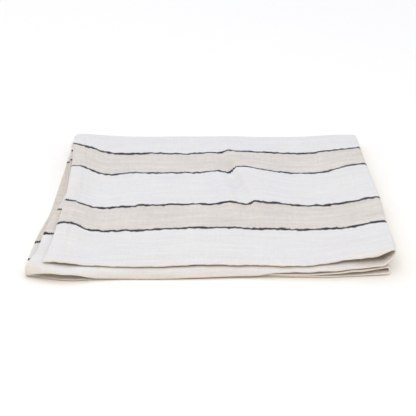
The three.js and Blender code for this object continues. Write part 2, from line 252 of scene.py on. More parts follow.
def layer_heights(x, y, resting):
    """Heights of the middle of each layer over the nominal place (x, y). The bottom one's is resting.

    Each is the layer's own height, plus its rise at the left hem and at the right crease, which fall along a
    bell inwards, plus its share of the swells. The second layer droops at its front left corner, and the
    bottom one rises a little at the right crease.
    """
    left = bell((x - column(LEFT_EDGES, "top", y)) / column(LEFT_RISE, "width", y))
    right = bell((column(RIGHT_CREASES, "upper", y) - x) / column(RIGHT_RISE, "width", y))
    swell = swelling(x, y)
    followed = np.maximum(swell, 0) * (1 - right)
    share = {"top": swell, "second": SECOND_FOLLOWS * followed, "third": THIRD_FOLLOWS * followed}
    height = {
        name: base + left * column(LEFT_RISE, name, y) + right * column(RIGHT_RISE, name, y) + share[name]
        for name, base in LAYER_HEIGHTS.items()
    }
    height["second"] -= SIDE_DROP * bell(x / SIDE_DROP_WIDTH) * bell(y / SIDE_DROP_LENGTH)
    lifted = bell((column(RIGHT_CREASES, "upper", y) - x) / BOTTOM_RISE_WIDTH)
    height["bottom"] = resting + lifted * column(RIGHT_RISE, "bottom", y)
    return height


back_left = np.array([60.0, 200.0])
back_left_stack = layer_heights(*back_left, CLOTH_THICKNESS / 2)
print("layers at the back left, mm high:", {name: round(float(h), 1) for name, h in back_left_stack.items()})

# %% [markdown]
# ## Thickness and hems
#
# A hem is the cloth's own edge, turned under twice and sewn down, so it is about twice as thick as the rest,
# with a round outer edge, and the seam draws it in along a line. At the front end of the right crease the
# cloth turns sharply, which presses it thinner. Along its front edge the bottom layer's underside stands a
# little off the table. All of that is one number at each point: how thick the cloth is. The body is then the
# middle surface, moved half that thickness to either side.

# %% How thick the cloth is
EDGE_ROUNDING, EDGE_LEAST = 0.8, 0.35
SEAM_DEPTH, SEAM_HALF_WIDTH = 0.16, 0.6
HEM_STEP = 0.8
PRESSED, PRESSED_AT, PRESSED_SPREAD, PRESSED_LENGTH = 0.5, 248.5, 6.0, 60.0
LIFT_LENGTH = 5.0


def distance_to_hem(u, v):
    """Distance to the nearest of the four cut edges."""
    return np.minimum(np.minimum(u, FLAT_WIDTH - u), np.minimum(v, FLAT_DEPTH - v))


def edge_lift(u, v):
    """How far the underside of the bottom layer's front hem stands off the table.

    At the hem's edge it is what the front table says, and it falls along a bell to 0 over LIFT_LENGTH.
    """
    x = FOLDED_WIDTH * (1 - np.abs(u - RIGHT_CREASE) / RIGHT_CREASE)
    in_bottom = (u < RIGHT_CREASE) & (v > BACK_CREASE)
    return in_bottom * column(FRONT_EDGES, "bottom_lift", x) * bell((FLAT_DEPTH - v) / LIFT_LENGTH)


def full_thickness(u, v):
    """The cloth's thickness before its edge is rounded off: stepped up over the hem, drawn in at the seam.

    It is pressed thinner by the share PRESSED where the front end of the right crease turns most sharply, and
    it loses at the bottom layer's front hem what its underside stands off the table.
    """
    edge = distance_to_hem(u, v)
    hem = np.clip((HEM_WIDTH - edge) / HEM_STEP, 0, 1)
    thickness = mix(CLOTH_THICKNESS, HEM_THICKNESS, hem * hem * (3 - 2 * hem))
    thickness -= SEAM_DEPTH * np.exp(-(((edge - SEAM_INSET) / SEAM_HALF_WIDTH) ** 2))
    pressed = PRESSED * np.exp(-(((u - PRESSED_AT) / PRESSED_SPREAD) ** 2)) * bell(v / PRESSED_LENGTH)
    return thickness * (1 - pressed) - edge_lift(u, v)


def thickness_at(u, v):
    """The cloth's thickness with its edge rounded off along a quarter circle."""
    rounding = np.clip(distance_to_hem(u, v) / EDGE_ROUNDING, 0, 1)
    return np.maximum(full_thickness(u, v) * np.sqrt(1 - (1 - rounding) ** 2), EDGE_LEAST)


across_a_hem = np.array([0.0, 5.0, SEAM_INSET, 30.0])
print("edge, hem, seam and open cloth, mm thick:", thickness_at(across_a_hem, BACK_CREASE / 2).round(2))

# %% [markdown]
# ## Folding it
#
# Each fold turns the cloth through half a circle. w says how far round the right crease a point has gone,
# from 1 before it to -1 after it, and q does the same at the back crease. The two together say which layer
# the point is in: w and q both 1 is the top one, w -1 the second, both -1 the third, q -1 the bottom one.
# Everything that differs between layers is a blend of the four by w and q, so one formula gives the flat
# parts, both creases and the corner where they meet. A hem that turns down does so over the last 8 mm of its
# cloth, and its edge comes back a little as it bends.
#
# A cloth simulation could fold it too, but it wouldn't land on this napkin's own folds. Here the folds are
# the point.

# %% The fold
GAP_TAKES, DRAWN_IN_TAKES, PAIRS_MEET_OVER = 0.9, 0.35, 8.0
BEND_LENGTH, BEND_PULL, DRAWN_BACK_WIDTH = 8.0, 0.88, 28.0


def right_fold(u, v):
    """How the cloth goes round the right crease at (u, v).

    It gives the nominal place, the layers' heights there, half the gap that the crease closes, how far the
    lower arm is drawn in, how round the crease is, and how much cloth it takes to either side. The place is
    in proportion to the distance from each crease. The cloth it takes is a share of a quarter circle round
    half the gap, plus a share of what is drawn in.
    """
    past_back = v - BACK_CREASE
    x = FOLDED_WIDTH * (1 - np.abs(u - RIGHT_CREASE) / RIGHT_CREASE)
    y = BACK_CREASE_START * (1 - np.abs(past_back) / BACK_CREASE)
    height = layer_heights(x, y, full_thickness(u, v) / 2 + edge_lift(u, v))
    upper_pair = np.clip(0.5 - past_back / PAIRS_MEET_OVER, 0, 1)
    half_gap = mix(height["third"] - height["bottom"], height["top"] - height["second"], upper_pair) / 2
    drawn_in = column(RIGHT_CREASES, "drawn_in", y) * upper_pair
    roundness = mix(LOWER_CREASE_ROUND, column(RIGHT_CREASES, "round", y), upper_pair)
    reach = np.pi / 2 * half_gap * GAP_TAKES + DRAWN_IN_TAKES * drawn_in
    return x, y, height, half_gap, drawn_in, roundness, reach


def folded(u, v):
    """Where the point (u, v) of the flat cloth lies in the folded napkin, in millimetres.

    Away from a crease a point lies in proportion between the crease and its layer's edge, at its layer's
    height. Round a crease it goes out by the sine of the turn times a radius, while its height passes from
    the upper layer's to the lower one's by the cosine. A hem that turns down bends through a quarter turn:
    down by 1 less the cosine of the bend, and back by the bend less its sine.
    """
    past_right, past_back = u - RIGHT_CREASE, v - BACK_CREASE
    x, y, height, half_gap, drawn_in, roundness, reach = right_fold(u, v)
    right_turn = np.pi / 2 * (1 + np.clip(past_right / reach, -1, 1))
    w = np.cos(right_turn)
    outer = (1 + w) / 2

    upper_height = mix(height["second"], height["top"], outer)
    lower_height = mix(height["third"], height["bottom"], outer)
    back_radius = (upper_height - lower_height) / 2
    back_reach = np.pi / 2 * back_radius
    back_turn = np.pi / 2 * (1 + np.clip(past_back / back_reach, -1, 1))
    q = np.cos(back_turn)
    upper = (1 + q) / 2

    def of_layer(rows, at):
        below = mix(column(rows, "third", at), column(rows, "bottom", at), outer)
        above = mix(column(rows, "second", at), column(rows, "top", at), outer)
        return mix(below, above, upper)

    left_edge = of_layer(LEFT_EDGES, y)
    right_edge = mix(column(RIGHT_CREASES, "lower", y), column(RIGHT_CREASES, "upper", y), upper)
    across_share = np.maximum(0, np.abs(past_right) - reach) / (RIGHT_CREASE - reach)
    placed_x = right_edge - across_share * (right_edge - left_edge)
    placed_x += roundness * half_gap * np.sin(right_turn) - drawn_in * (1 - outer) * (1 - across_share)

    front_edge = of_layer(FRONT_EDGES, placed_x)
    down = mix(column(FRONT_EDGES, "second_down", placed_x), column(FRONT_EDGES, "top_down", placed_x), outer)
    down = down * upper
    front_edge = front_edge - down * BEND_PULL * (np.pi / 2 - 1)
    forward_share = np.maximum(0, np.abs(past_back) - back_reach) / (BACK_CREASE - back_reach)
    placed_y = BACK_CREASE_START - forward_share * (BACK_CREASE_START - front_edge)
    placed_y += back_radius * np.sin(back_turn)
    placed_y += outer * upper * column(LEFT_RISE, "drawn_back", y) * bell(x / DRAWN_BACK_WIDTH)
    placed_z = (upper_height + lower_height) / 2 + q * (upper_height - lower_height) / 2

    bend = np.pi / 2 * np.clip(1 - v / BEND_LENGTH, 0, 1)
    placed_y += down * BEND_PULL * (bend - np.sin(bend))
    placed_z -= down * (1 - np.cos(bend))
    return np.stack([placed_x, placed_y, placed_z], axis=-1)


corner_names = ("top front left", "second front left", "third front left", "bottom front left")
corners = folded(np.array([0.0, FLAT_WIDTH, FLAT_WIDTH, 0.0]), np.array([0.0, 0.0, FLAT_DEPTH, FLAT_DEPTH]))
for name, corner in zip(corner_names, corners):
    print(f"{name} corner at", np.round(corner, 1))

# %% [markdown]
# ## Which points to work out
#
# A mesh needs its rows close together only where the shape turns: over the hem's rounded edge and seam, and
# round the creases. The open cloth between takes wider steps. The columns of the right crease are shares of
# what the crease takes at that place, so they fan out towards the gaping corner, and the columns near the
# ridge lean with it.

# %% Rows and columns of the grid
HEM_ROWS = np.array([0, 0.12, 0.35, 0.7, 1.3, 2.6, 4.5, 6.5, 8.2, 8.8, 9.3, 9.8, 10.3, 10.7, 11.1, 12])
CREASE_COLUMNS, CREASE_SPREAD, CREASE_OVERRUN = 33, 1.25, 1.12
CREASE_ANGLES = np.linspace(-CREASE_SPREAD, CREASE_SPREAD, CREASE_COLUMNS)
CREASE_SHARES = np.sin(CREASE_ANGLES) / math.sin(CREASE_SPREAD) * CREASE_OVERRUN
BACK_COUNT, BACK_SPREAD, BACK_ROOM = 31, 1.8, 13
BACK_ROWS = np.sinh(np.linspace(-BACK_SPREAD, BACK_SPREAD, BACK_COUNT)) / math.sinh(BACK_SPREAD) * BACK_ROOM
RIGHT_ROOM, TOP_STEP, UNDER_STEP = 17.0, 2.3, 5.2
RIDGE_U, RIDGE_V, RIDGE_LEAN, RIDGE_REACH = 142.0, 142.0, 9.0, 90.0
RIDGE_FADE_FROM, RIDGE_FADE_OVER = 195.0, 50.0


def even_rows(start, end, step):
    """Evenly spaced rows from start up to but without end."""
    return np.linspace(start, end, max(1, round((end - start) / step)), endpoint=False)


def rows_before_and_after(length, crease, room):
    """Rows from the first hem to the room that is left for the crease, and from there to the last hem."""
    before = even_rows(HEM_ROWS[-1], crease - room, TOP_STEP)
    after = even_rows(crease + room, length - HEM_ROWS[-1], UNDER_STEP)
    return np.concatenate([HEM_ROWS[:-1], before]), np.concatenate([after, length - HEM_ROWS[::-1]])


def cloth_grid():
    """u and v of every point of the grid, v down the rows and u along them.

    Near the ridge the columns move to the right by the tangent of its lean times the distance to the front of
    its middle. The crease's columns are its shares of the cloth that it takes at that row.
    """
    before_u, after_u = rows_before_and_after(FLAT_WIDTH, RIGHT_CREASE, RIGHT_ROOM)
    before_v, after_v = rows_before_and_after(FLAT_DEPTH, BACK_CREASE, BACK_ROWS[-1] + TOP_STEP)
    v = np.concatenate([before_v, BACK_CREASE + BACK_ROWS, after_v])[:, None]
    lean = bell(np.abs(before_u - RIDGE_U) / RIDGE_REACH) * bell((v - RIDGE_FADE_FROM) / RIDGE_FADE_OVER)
    leaning = before_u + lean * math.tan(math.radians(RIDGE_LEAN)) * (RIDGE_V - v)
    reach = right_fold(np.full_like(v, RIGHT_CREASE), v)[-1]
    u = np.concatenate([leaning, RIGHT_CREASE + CREASE_SHARES * reach, after_u + 0 * v], axis=1)
    return u, v + 0 * u


grid_u, grid_v = cloth_grid()
print("grid of", grid_u.shape, "points")

# %% [markdown]
# ## The napkin as one closed body
#
# The middle surface moves half the thickness outwards for one face and inwards for the other, square to the
# cloth. A narrow rim joins the two along the four hems. Small ripples, a few tenths of a millimetre high,
# run through the upper layers and fade out in the lower ones, which lie flat: no cloth is ever as smooth as
# its formula, and they are what makes the light on it look soft.

# %% Make the body
RIPPLES = (
    dict(height=0.22, along_u=0.061, along_v=0.023, phase=0.4),
    dict(height=0.16, along_u=-0.034, along_v=0.083, phase=2.1),
    dict(height=0.10, along_u=0.137, along_v=-0.058, phase=4.0),
)
PUCKERS = dict(height=0.16, first=0.36, second=0.83, phase=1.3, reach=15.0)
RIPPLES_FADE_OVER = 2.0


def ripples(point, u, v):
    """Small waves: a few long sines across the plan, and shorter ones along the hems that die out inwards."""
    x, y = point[..., 0], point[..., 1]
    wave = sum(r["height"] * np.sin(r["along_u"] * x + r["along_v"] * y + r["phase"]) for r in RIPPLES)
    along = np.where(np.minimum(u, FLAT_WIDTH - u) < np.minimum(v, FLAT_DEPTH - v), v, u)
    pucker = np.sin(PUCKERS["first"] * along) + np.sin(PUCKERS["second"] * along + PUCKERS["phase"])
    wave = wave + PUCKERS["height"] * pucker * bell(distance_to_hem(u, v) / PUCKERS["reach"])
    return wave


def middle_surface(u, v):
    """The folded cloth with its ripples, which fade out in the two lower layers so that they lie flat."""
    point = folded(u, v)
    lifted = np.clip((point[..., 2] - LAYER_HEIGHTS["third"]) / RIPPLES_FADE_OVER, 0, 1)
    point[..., 2] += lifted * ripples(point, u, v)
    return point


def square_to(point):
    """The direction square to a grid of points, from the cross product of its two ways along the grid."""
    normal = np.cross(np.gradient(point, axis=1), np.gradient(point, axis=0))
    return normal / np.linalg.norm(normal, axis=-1, keepdims=True)


def closed_cloth(u, v):
    """Points and faces of the closed body: two offset faces and the rim between them."""
    middle = middle_surface(u, v)
    half = square_to(middle) * thickness_at(u, v)[..., None] / 2
    points = np.concatenate([(middle + half).reshape(-1, 3), (middle - half).reshape(-1, 3)])
    rows, columns = u.shape
    number = np.arange(rows * columns).reshape(rows, columns)
    a, b, c, d = number[:-1, :-1], number[:-1, 1:], number[1:, 1:], number[1:, :-1]
    outside = np.stack([a, b, c, d], axis=-1).reshape(-1, 4)
    rim = np.concatenate([number[0, :-1], number[:-1, -1], number[-1, :0:-1], number[:0:-1, 0]])
    after = np.roll(rim, -1)
    inner = rows * columns
    edge = np.stack([rim + inner, after + inner, after, rim], axis=-1)
    return points, np.concatenate([outside, outside[:, ::-1] + inner, edge])


cloth_points, cloth_faces = closed_cloth(grid_u, grid_v)
cloth_uv = np.tile(np.stack([grid_u, grid_v], axis=-1).reshape(-1, 2), (2, 1))
box_low, box_high = cloth_points.min(axis=0), cloth_points.max(axis=0)
print(f"{len(cloth_faces)} faces, box {np.round(box_high - box_low, 1)} mm, lowest point {box_low[2]:.2f} mm")

# %% [markdown]
# The formula counts from the top layer's front left corner, and the frame from the middle of the footprint.
# One shift takes the first to the second: the middle of the two boxes, and the table. The camera uses it too.

# %% From the napkin's own corner to the frame
frame_middle = (napkin_low + napkin_high) / 2 / MM
corner_to_frame = np.array([*(frame_middle[:2] - (box_low + box_high)[:2] / 2), napkin_low[2] / MM])
print("shift, mm:", np.round(corner_to_frame, 2))


def to_frame(points):
    """Metres in the frame, from millimetres counted from the top layer's front left corner."""
    return (np.asarray(points) + corner_to_frame) * MM


def mesh_object(name, points, faces, uv):
    """A smooth mesh from points in metres, faces of four corners each, and the cloth's u and v in metres."""
    mesh = bpy.data.meshes.new(name)
    mesh.from_pydata(points.tolist(), [], faces.tolist())
    layer = mesh.uv_layers.new(name="cloth")
    layer.data.foreach_set("uv", uv[faces.reshape(-1)].astype(np.float32).reshape(-1))
    mesh.polygons.foreach_set("use_smooth", np.ones(len(mesh.polygons), dtype=bool))
    mesh.validate()
    piece = bpy.data.objects.new(name, mesh)
    bpy.context.scene.collection.objects.link(piece)
    return piece


on_the_table = to_frame(cloth_points)
on_the_table[:, 2] = np.maximum(on_the_table[:, 2], napkin_low[2])
napkin_cloth = mesh_object("napkin_cloth", on_the_table, cloth_faces, cloth_uv * MM)
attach(napkin_cloth, "root")
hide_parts("napkin")
print(napkin_cloth.name, "has", 2 * len(napkin_cloth.data.polygons), "triangles")

# %% [markdown]
# ## The hem's stitching
#
# The hems are sewn with a plain lockstitch in thread of the cloth's colour, a bit over 3 mm to the stitch. It
# shows on both faces as a row of short dashes that sink at their ends, where the thread goes through. One
# stitch is a thin spindle: its rings are worked out for all the stitches at once, on the folded cloth.

# %% Sew the hems
STITCH_PITCH, STITCH_LENGTH, THREAD_RADIUS = 3.4, 2.5, 0.14
SPINDLE_END, MIDDLE_RISE = 0.97, 0.5
RINGS, SIDES = 5, 6
SLOPE_STEP, HEADING_STEP = 0.3, 0.5


def seam_places():
    """u, v and the direction along the seam, for the middle of every stitch of the four hems."""
    sides = []
    for length, depth, flip in ((FLAT_WIDTH, FLAT_DEPTH, False), (FLAT_DEPTH, FLAT_WIDTH, True)):
        count = int((length - 2 * SEAM_INSET) / STITCH_PITCH)
        along = SEAM_INSET + STITCH_PITCH * (np.arange(count) + 0.5)
        for across in (SEAM_INSET, depth - SEAM_INSET):
            place = np.stack([along, np.full(count, across)], axis=-1)
            heading = np.tile([1.0, 0.0], (count, 1))
            sides.append((place[:, ::-1], heading[:, ::-1]) if flip else (place, heading))
    return (np.concatenate(part) for part in zip(*sides))


def surface_and_normal(u, v):
    """The middle surface at (u, v) and the direction square to it, from small steps either way."""
    point = middle_surface(u, v)
    along_u = middle_surface(u + SLOPE_STEP, v) - middle_surface(u - SLOPE_STEP, v)
    along_v = middle_surface(u, v + SLOPE_STEP) - middle_surface(u, v - SLOPE_STEP)
    normal = np.cross(along_u, along_v)
    return point, normal / np.linalg.norm(normal, axis=-1, keepdims=True)


def stitches(side):
    """Points, faces and places of every stitch on one face: side is 1 for the outer face, -1 for the inner.

    A stitch is a spindle along the seam, with s from -1 to 1 along it. Its radius is the thread's, times the
    square root of 1 - s ** 4. It rises from the seam's groove by half a radius in its middle, and sinks by as
    much at its ends, where two faces of four corners close each ring of six.
    """
    place, heading = seam_places()
    point, normal = surface_and_normal(place[:, 0], place[:, 1])
    step = heading * HEADING_STEP
    ahead = middle_surface(*(place + step).T) - middle_surface(*(place - step).T)
    ahead /= np.linalg.norm(ahead, axis=-1, keepdims=True)
    up = side * normal
    beside = np.cross(ahead, up)
    s = np.linspace(-SPINDLE_END, SPINDLE_END, RINGS)[None, :, None]
    angle = np.linspace(0, 2 * np.pi, SIDES, endpoint=False)[None, None, :]
    radius = THREAD_RADIUS * np.sqrt(1 - s**4)
    rise = thickness_at(place[:, 0], place[:, 1])[:, None, None] / 2 + THREAD_RADIUS * (MIDDLE_RISE - s**2)
    spindle = point[:, None, None, :] + ahead[:, None, None, :] * (s * STITCH_LENGTH / 2)[..., None]
    spindle = spindle + up[:, None, None, :] * (rise + radius * np.sin(angle))[..., None]
    spindle = spindle + beside[:, None, None, :] * (radius * np.cos(angle))[..., None]
    corner = np.arange(RINGS * SIDES).reshape(RINGS, SIDES)
    turned = np.roll(corner, -1, axis=1)
    wall = np.stack([corner[:-1], corner[1:], turned[1:], turned[:-1]], axis=-1).reshape(-1, 4)
    caps = np.array([[0, 1, 2, 3], [0, 3, 4, 5]])
    last = (RINGS - 1) * SIDES
    faces = np.concatenate([wall, caps, caps[:, ::-1] + last])
    faces = faces[None] + np.arange(len(place))[:, None, None] * RINGS * SIDES
    return spindle.reshape(-1, 3), faces.reshape(-1, 4), np.repeat(place, RINGS * SIDES, axis=0)


outer, inner = stitches(1), stitches(-1)
stitch_points = np.concatenate([outer[0], inner[0]])
stitch_faces = np.concatenate([outer[1], inner[1] + len(outer[0])])
stitch_uv = np.concatenate([outer[2], inner[2]]) * MM
sewn = to_frame(stitch_points)
sewn[:, 2] = np.maximum(sewn[:, 2], napkin_low[2])
hem_stitches = mesh_object("hem_stitches", sewn, stitch_faces, stitch_uv)
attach(hem_stitches, "root")
print(len(outer[0]) // (RINGS * SIDES), "stitches on each face")

# %% [markdown]
# ## Thread
#
# Sewing thread is smoother and tighter than the cloth, with a fine twist. Slanting bands stand for its two
# plies,
# in relief, and as painted shade: a darker colour in the grooves between the plies. It is the simpler of the
# two materials, so it comes first, with the helpers that both of them use: one makes a material, one fills a
# socket, one mixes two colours, one adds relief, and one sets the plain numbers of a finish on the shader
# itself.

# %% Helpers for nodes, and the thread
# The darker thread colour is painted shade for the grooves between the plies; the lighter one is the thread's
# own white.
THREAD_PAINTED_SHADE, THREAD_WHITE = (0.60, 0.59, 0.575, 1.0), (0.76, 0.757, 0.75, 1.0)
TWIST_SCALE, TWIST_DISTORTION = 900, 1.5
TWIST_STRENGTH, TWIST_DEPTH = 0.4, 0.05 * MM
THREAD_FINISH = {"Roughness": 0.7, "Sheen Weight": 0.1}


def new_material(name):
    """A material with an empty node tree, apart from its Principled shader."""
    material = bpy.data.materials.new(name)
    material.use_nodes = True
    return material, material.node_tree, material.node_tree.nodes["Principled BSDF"]


def feed(tree, socket, value):
    """Put a number, colour or another node's output on a socket."""
    if isinstance(value, bpy.types.NodeSocket):
        tree.links.new(value, socket)
    else:
        socket.default_value = value


def blend_colour(tree, share, first, second, kind="MIX"):
    """The output of a colour Mix node: first where share is 0, second where it is 1."""
    node = tree.nodes.new("ShaderNodeMix")
    node.data_type = "RGBA"
    node.blend_type = kind
    feed(tree, node.inputs["Factor"], share)
    feed(tree, node.inputs["A"], first)
    feed(tree, node.inputs["B"], second)
    return node.outputs["Result"]


def add_relief(tree, shader, height, strength, depth):
    """Turn the shader's normal as a relief of height, from 0 to 1, times depth would turn it."""
    bump = tree.nodes.new("ShaderNodeBump")
    bump.inputs["Strength"].default_value = strength
    bump.inputs["Distance"].default_value = depth
    feed(tree, bump.inputs["Height"], height)
    feed(tree, shader.inputs["Normal"], bump.outputs["Normal"])


def set_finish(shader, finish):
    """Set numbers and colours that are the same all over, by the names of their sockets."""
    for name, value in finish.items():
        shader.inputs[name].default_value = value


def thread_material():
    """White two-ply thread: a wave along the diagonal, its bands 0.4 mm apart, in relief and as painted shade
    between the plies.
    """
    material, tree, shader = new_material("hem_thread")
    twist = tree.nodes.new("ShaderNodeTexWave")
    twist.wave_type = "BANDS"
    twist.bands_direction = "DIAGONAL"
    twist.inputs["Scale"].default_value = TWIST_SCALE
    twist.inputs["Distortion"].default_value = TWIST_DISTORTION
    feed(tree, twist.inputs["Vector"], tree.nodes.new("ShaderNodeTexCoord").outputs["Object"])
    # Painted shade: the thread's colour darkens along the twist's bands, where the grooves between the plies
    # are.
    colour = blend_colour(tree, twist.outputs["Fac"], THREAD_PAINTED_SHADE, THREAD_WHITE)
    feed(tree, shader.inputs["Base Color"], colour)
    add_relief(tree, shader, twist.outputs["Fac"], TWIST_STRENGTH, TWIST_DEPTH)
    set_finish(shader, THREAD_FINISH)
    return material


thread = thread_material()
hem_stitches.data.materials.append(thread)
print(thread.name, "has", len(thread.node_tree.nodes), "nodes")

# %% [markdown]
# ## Plain-woven linen
#
# Plain weave passes each weft thread over one warp thread and under the next. Here the warp is white all
# over and the weft changes colour: white, beige in the bands, charcoal for four or five picks at each line.
# So a band isn't flat beige but beige and white in fine checks, as in the cloth. Linen yarn is uneven, so
# threads wander, swell into slubs, and vary a little in shade.
#
# The nodes work on u and v in metres, from the mesh's own map. Where sin(pi u / pitch) times
# sin(pi v / pitch) is positive the warp is on top, and where it is negative the weft is.

# %% Threads over and under
WARP_PITCH, WEFT_PITCH = 0.75, 0.72
THREADS = {
    "warp": dict(axis="X", pitch=WARP_PITCH, along_u=1, along_v=0.25),
    "weft": dict(axis="Y", pitch=WEFT_PITCH, along_u=0.25, along_v=1),
}
WANDER_SCALE, WANDER_PITCHES = 420, 1.1
RISE_ON_TOP, LEAD_SHARPNESS = 0.6, 2.5


def arithmetic(tree, operation, first, second=0.0, third=0.0):
    """The output of a Math node."""
    node = tree.nodes.new("ShaderNodeMath")
    node.operation = operation
    for socket, value in zip(node.inputs, (first, second, third)):
        feed(tree, socket, value)
    return node.outputs[0]


def noise(tree, here, scale, along_u=1.0, along_v=1.0, detail=2.0, roughness=0.5):
    """A noise that is about 0 on average, on the map here times a factor each way.

    A factor under 1 draws the noise out along that way. Its bumps are about 1 / scale metres across.
    """
    mapping = tree.nodes.new("ShaderNodeMapping")
    mapping.inputs["Scale"].default_value = (along_u, along_v, 1)
    feed(tree, mapping.inputs["Vector"], here)
    node = tree.nodes.new("ShaderNodeTexNoise")
    feed(tree, node.inputs["Vector"], mapping.outputs["Vector"])
    node.inputs["Scale"].default_value = scale
    node.inputs["Detail"].default_value = detail
    node.inputs["Roughness"].default_value = roughness
    return arithmetic(tree, "SUBTRACT", node.outputs["Fac"], 0.5)


def thread_wave(tree, here, place, axis, pitch, along_u, along_v):
    """The sine of pi times place / pitch, with the threads moved sideways by a noise drawn out along them."""
    wander = noise(tree, here, WANDER_SCALE, along_u, along_v, detail=1)
    threads = arithmetic(tree, "DIVIDE", place[axis], pitch * MM)
    threads = arithmetic(tree, "MULTIPLY_ADD", wander, WANDER_PITCHES, threads)
    return arithmetic(tree, "SINE", arithmetic(tree, "MULTIPLY", threads, math.pi))


def weave(tree, here, place):
    """The warp's wave, the height of the upper thread, and how far the weft shows, from 0 to 1.

    A thread's height is the size of its own wave. Where the product of the two waves is positive the warp is
    raised and the weft sunk by a share of it, and where it is negative the other way round. The weft shows by
    how far it is the higher one, made sharper by a factor.
    """
    warp_wave, weft_wave = (thread_wave(tree, here, place, **kind) for kind in THREADS.values())
    over = arithmetic(tree, "MULTIPLY", warp_wave, weft_wave)
    warp_round, weft_round = (arithmetic(tree, "ABSOLUTE", wave) for wave in (warp_wave, weft_wave))
    warp_height = arithmetic(tree, "MULTIPLY_ADD", over, RISE_ON_TOP, warp_round)
    weft_height = arithmetic(tree, "MULTIPLY_ADD", over, -RISE_ON_TOP, weft_round)
    lead = arithmetic(tree, "SUBTRACT", weft_height, warp_height)
    shows = tree.nodes.new("ShaderNodeClamp")
    feed(tree, shows.inputs["Value"], arithmetic(tree, "MULTIPLY_ADD", lead, LEAD_SHARPNESS, 0.5))
    return warp_wave, arithmetic(tree, "MAXIMUM", warp_height, weft_height), shows.outputs[0]


print(f"{FLAT_WIDTH / WARP_PITCH:.0f} warp threads and {FLAT_DEPTH / WEFT_PITCH:.0f} picks of weft")

# %% [markdown]
# The stripes are a table too: where each charcoal line is, and where each beige band runs from and to, along
# the cloth from one hem to the other. The bands run from line to line, because the weaver changed to beige
# where the dark picks end.
#
# No stripe is straight. Its edge drifts over centimetres, jogs where the weft was beaten unevenly, and frays
# from thread to thread. Three noises of different size do that, and one more swells and thins the lines.

# %% Stripes along the cloth
WHITE = (0.735, 0.673, 0.568, 1.0)
WARP_WHITE = (0.744, 0.682, 0.576, 1.0)
BEIGE = (0.585, 0.479, 0.345, 1.0)
CHARCOAL = (0.012, 0.011, 0.011, 1.0)
LINES = {58.8: 3.4, 102.8: 3.5, 169.7: 2.8, 214.1: 3.7, 309.5: 3.2, 466.5: 3.2, 495.0: 3.2}
BEIGE_BANDS = ((58.8, 102.8), (169.7, 214.1), (309.5, 466.5))
EDGE_MOVES = {
    "drift": (1.6, dict(scale=14, detail=1)),
    "jog": (6.4, dict(scale=90, along_v=0.3, detail=2)),
    "fray": (4.7, dict(scale=330, along_v=0.5, detail=1)),
}
EDGE_STEP = 0.5
LINE_SWELL = (4.5, dict(scale=110, along_v=0.1))
LINE_COVER, MORE_ON_WEFT = 0.96, 0.04


def within(tree, along, bands, wider=0.0):
    """1 where along lies in one of the bands, each a pair of ends in mm, moved apart by wider in all."""
    total = 0.0
    for start, end in bands:
        node = tree.nodes.new("ShaderNodeMath")
        node.operation = "COMPARE"
        feed(tree, node.inputs[0], along)
        node.inputs[1].default_value = (start + end) / 2 * MM
        feed(tree, node.inputs[2], arithmetic(tree, "MULTIPLY_ADD", wider, 0.5, (end - start) / 2 * MM))
        total = arithmetic(tree, "ADD", total, node.outputs[0])
    return total


def striped(tree, here, along, warp_wave, weft_shows):
    """Where the weft is beige, and the threads' colour at each point.

    The place along the cloth is moved by each noise times its millimetres, and by a step from warp thread to
    warp thread. The table of stripes is read at the moved place. In a line the dark picks are packed close,
    so they cover nearly all of the warp too.
    """
    for by, kind in EDGE_MOVES.values():
        along = arithmetic(tree, "MULTIPLY_ADD", noise(tree, here, **kind), by * MM, along)
    along = arithmetic(tree, "MULTIPLY_ADD", warp_wave, EDGE_STEP * MM, along)
    in_beige = within(tree, along, BEIGE_BANDS)
    ground = blend_colour(tree, weft_shows, WARP_WHITE, blend_colour(tree, in_beige, WHITE, BEIGE))

    swell, kind = LINE_SWELL
    swollen = arithmetic(tree, "MULTIPLY", noise(tree, here, **kind), swell * MM)
    ends = [(middle - width / 2, middle + width / 2) for middle, width in LINES.items()]
    in_line = within(tree, along, ends, wider=swollen)
    cover = arithmetic(tree, "MULTIPLY_ADD", weft_shows, MORE_ON_WEFT, LINE_COVER)
    return in_beige, blend_colour(tree, in_line, ground, blend_colour(tree, cover, WARP_WHITE, CHARCOAL))


beige_total = sum(end - start for start, end in BEIGE_BANDS)
print(f"{len(LINES)} lines, and {beige_total:.0f} mm of the cloth's {FLAT_DEPTH:.0f} mm is beige")

# %% [markdown]
# Last come the yarn's own faults. Slubs are long thick spots along a thread, streaks are picks of slightly
# darker yarn, and mottle and blotches are how unevenly linen takes its bleach. Each is a noise with a weight,
# and they show about twice as much in the beige, which keeps more of the raw flax.

# %% Linen
SHADES = {
    "warp slubs": (0.095, dict(scale=800, along_v=0.04, detail=3, roughness=0.7)),
    "weft slubs": (0.17, dict(scale=800, along_u=0.04, detail=3, roughness=0.7)),
    "streaks": (0.12, dict(scale=260, along_u=0.12, detail=3, roughness=0.6)),
    "broad streaks": (0.10, dict(scale=110, along_u=0.1, detail=2, roughness=0.6)),
    "mottle": (0.07, dict(scale=330, along_v=0.6, detail=3, roughness=0.65)),
    "blotches": (0.06, dict(scale=34, detail=3)),
}
MORE_IN_BEIGE = 1.1
SLUB_HEIGHT, WEAVE_STRENGTH, WEAVE_DEPTH = 0.8, 0.5, 0.12 * MM
ROUGH_BETWEEN, SMOOTHER_ON_TOP = 0.93, 0.06
LINEN_FINISH = {
    "Specular IOR Level": 0.25,
    "Sheen Weight": 0.06,
    "Sheen Roughness": 0.5,
    "Subsurface Weight": 0.25,
    "Subsurface Radius": (1.0, 0.6, 0.3),
    "Subsurface Scale": 2.0 * MM,
}


